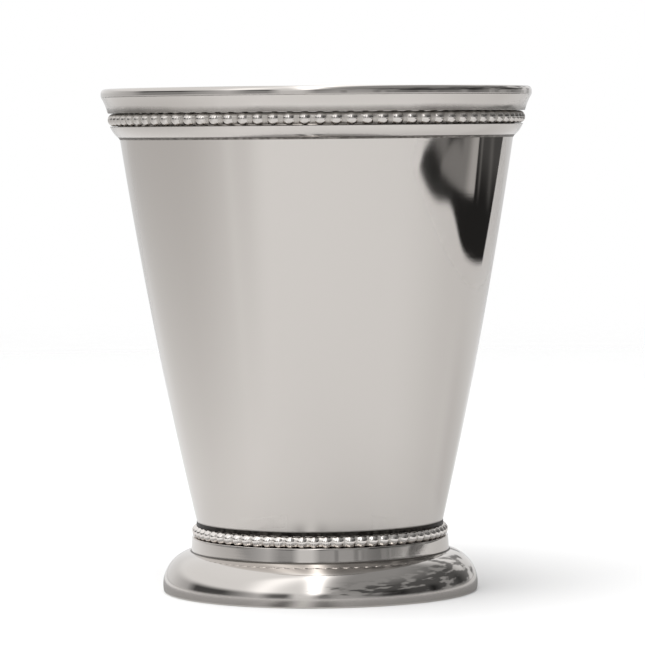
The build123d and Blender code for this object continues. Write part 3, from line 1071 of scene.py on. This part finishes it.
def painted_reflection_card(name, x, y, cover, brightness, layer=1):
    """A flat glowing sheet, a painted reflection on a grid of places, as bright as given, that covers what
    is below by a share.
    """
    rows, columns = x.shape
    points = np.stack([x, y, np.full_like(x, layer * CARD_LEVEL)], axis=-1).reshape(-1, 3)
    index = np.arange(rows * columns).reshape(rows, columns)
    corners = [index[:-1, :-1], index[:-1, 1:], index[1:, 1:], index[1:, :-1]]
    quads = np.stack(corners, axis=-1).reshape(-1, 4)
    mesh = bpy.data.meshes.new(name)
    mesh.from_pydata(points.tolist(), [], quads.tolist())
    shares = cover.reshape(-1).astype(np.float32)
    mesh.attributes.new("cover", "FLOAT", "POINT").data.foreach_set("value", shares)
    card = add_object(name, mesh)
    card.visible_camera = card.visible_diffuse = card.visible_shadow = False
    material, tree, shader = new_material(name)
    tree.nodes.remove(shader)
    glow = add_node(tree, "ShaderNodeEmission", Color=CARD_TINT, Strength=brightness)
    clear = add_node(tree, "ShaderNodeBsdfTransparent")
    share = add_node(tree, "ShaderNodeAttribute", attribute_name="cover").outputs["Fac"]
    surface_mix(tree, share, clear, glow)
    mesh.materials.append(material)
    print(f"{name}: {len(quads)} faces")


def fan(start, end, nearest, farthest, columns=73, rows=32):
    """A fan of places round the cup: their directions in degrees, their distances, and their x and y."""
    degrees, radius = np.meshgrid(np.linspace(start, end, columns), np.linspace(nearest, farthest, rows))
    return degrees, radius, radius * np.cos(np.radians(degrees)), radius * np.sin(np.radians(degrees))


# %% Lay the grey sheets of painted shadow and shade
def left_card():
    """Painted shadow: the cup's shadow on the floor, seen in reflections, on a sheet whose near edge is a
    wide V.

    With t how far a place lies beyond that edge, 1 - exp(-t / softness) covers. Towards the front only a
    weak strip goes on, with a lighter line where it begins.
    """
    degrees, _, x, y = fan(100, 246, CARD_START, FLOOR_RADIUS)
    beyond = np.maximum(-x - CARD_START - np.where(y > 0, 0.5, 0.15) * np.abs(y), 0)
    weak = 0.7 * smooth_step(degrees, 244, 228) * (1 - 0.3 * np.exp(-(((degrees - 219) / 4) ** 2)))
    share = 1 - (1 - weak) * (1 - smooth_step(degrees, 226, 190))
    painted_reflection_card("painted_shadow_reflection", x, y, share * (1 - np.exp(-beyond / CARD_SOFTNESS)), GREY)


def right_card():
    """Painted dim reflection: thin all over, from the front on the right to well behind the cup, and
    thicker there near the cup.
    """
    degrees, radius, x, y = fan(-52, 80, CARD_START, FLOOR_RADIUS)
    thin = 0.38 * smooth_step(degrees, -45, 12)
    thick = 0.3 * smooth_step(degrees, 12, 32) * smooth_step(radius, 0.35, 0.12)
    ends = smooth_step(degrees, 78, 55) * smooth_step(radius, 0.05, 0.09)
    painted_reflection_card("painted_dim_reflection", x, y, (thin + thick) * ends, GREY)


def foot_shade():
    """A dim ring close round the foot, that comes and goes in front and a little to the left.

    It covers half all round. In front the share swings as the cosine of 20 times the direction, and the
    swing dies away to both sides as exp(-(a / 12)^2), with a the degrees from its middle.
    """
    degrees, radius, x, y = fan(0, 360, 0.9 * SKIRT_RADIUS, 0.056, columns=241)
    swing = np.cos(np.radians(20 * (degrees - 254.5))) * np.exp(-(((degrees - 262) / 12) ** 2))
    cover = (0.5 + 0.48 * swing) * smooth_step(radius, 0.055, 0.043)
    painted_reflection_card("foot_shade", x, y, cover, SHADE)


left_card()
right_card()
foot_shade()

# %% [markdown]
# The dark hook under the rim is a painted reflection: the mirror image of one black glowing sheet. Its
# edges are simple curves on the floor, and the bent wall makes a hook of them. A window in the sheet paints
# the lighter field inside it.

# %% Lay the painted dark reflection
def painted_dark_reflection():
    """A black glowing sheet with a window, which paints the dark hook as a reflection.

    Its near edge bows out once, as exp(-t^2), and runs off slantwise behind. Its front edge slants. The
    window's near and back edges are straight and its front edge is part of a parabola. The window is
    lightest at its back edge, and behind that run two paler lines, on a ground that is greyer far away. In
    front of the window the black is greyer far away too.
    """
    x, y = np.meshgrid(np.linspace(0.28, 0.8, 105), np.linspace(-0.2, 0.9, 221))
    near = 0.306 + 0.05 * y + 0.037 * np.exp(-(((y + 0.018) / 0.062) ** 2)) + 0.68 * np.maximum(y - 0.3, 0)
    front = -0.17 + 0.4 * np.maximum(x - 0.335, 0)
    cover = smooth_step(x - near, -0.005, 0.006) * smooth_step(y - front, -0.005, 0.006)
    painted_reflection_card("painted_dark_reflection", x, y, cover, BLACK, layer=2)
    back = 0.138 + 0.25 * (x - 0.409) - y
    window = smooth_step(x - 0.38 - 0.24 * y, -0.006, 0.006)
    window *= smooth_step(y + 0.093 - 6 * (x - 0.351) ** 2, -0.006, 0.006)
    window *= smooth_step(back, -0.004, 0.006)
    window *= 1 - 0.5 * smooth_step(back, 0.03, 0.1)
    window *= 1 - 0.45 * smooth_step(x, 0.44, 0.475) * smooth_step(y, 0.04, 0.005)
    lines = np.exp(-(((back + 0.04) / 0.012) ** 2)) + 0.6 * np.exp(-(((back + 0.2) / 0.04) ** 2))
    paler = 0.2 * lines * smooth_step(x, 0.4, 0.46) + 0.12 * smooth_step(x, 0.42, 0.55)
    paler *= smooth_step(back, 0.0, -0.02) * smooth_step(x - near, -0.002, 0.01)
    greyer = 0.4 * cover * smooth_step(x, 0.35, 0.4) * smooth_step(y, -0.05, -0.09)
    painted_reflection_card("painted_reflection_window", x, y, np.clip(window + paler, greyer, 1), WINDOW_GREY, layer=3)


painted_dark_reflection()

# %% [markdown]
# ## The camera
#
# A long lens from about arm's length, level with the rim: the rim shows as a nearly straight line, and
# the foot as a shallow ellipse. The camera is rolled a little, because the cup leans a little in the
# picture.

# %% Place the camera
IMAGE_SIZE = 645
CAMERA_DISTANCE = 0.78
CAMERA_HEIGHT = 96.5 * MM
PIXELS_PER_METRE = 4834
AIM_PIXEL = (318.2, 338.0)
AIM_HEIGHT = 52.2 * MM
ROLL = math.radians(-0.5)

camera_data = bpy.data.cameras.new("camera")
camera_data.sensor_width = 36
camera_data.lens = PIXELS_PER_METRE * CAMERA_DISTANCE / IMAGE_SIZE * camera_data.sensor_width
camera_data.clip_start = 0.01
camera_data.clip_end = 20
camera = add_object("camera", camera_data)
camera.location = (0, -CAMERA_DISTANCE, CAMERA_HEIGHT)
focal_pixels = PIXELS_PER_METRE * CAMERA_DISTANCE
off_right = AIM_PIXEL[0] - IMAGE_SIZE / 2
off_down = AIM_PIXEL[1] - IMAGE_SIZE / 2
pitch = math.atan2(AIM_HEIGHT - CAMERA_HEIGHT, CAMERA_DISTANCE) + math.atan2(off_down, focal_pixels)
yaw = math.atan2(off_right, focal_pixels)
level = Euler((math.pi / 2 + pitch, 0, yaw)).to_quaternion()
camera.rotation_mode = "QUATERNION"
camera.rotation_quaternion = level @ Quaternion((0, 0, 1), ROLL)
bpy.context.scene.camera = camera
bpy.context.scene.view_settings.view_transform = "Standard"
print(f"lens {camera_data.lens:.1f} mm")
print(f"pitch {math.degrees(pitch):.2f} degrees, yaw {math.degrees(yaw):.2f} degrees")
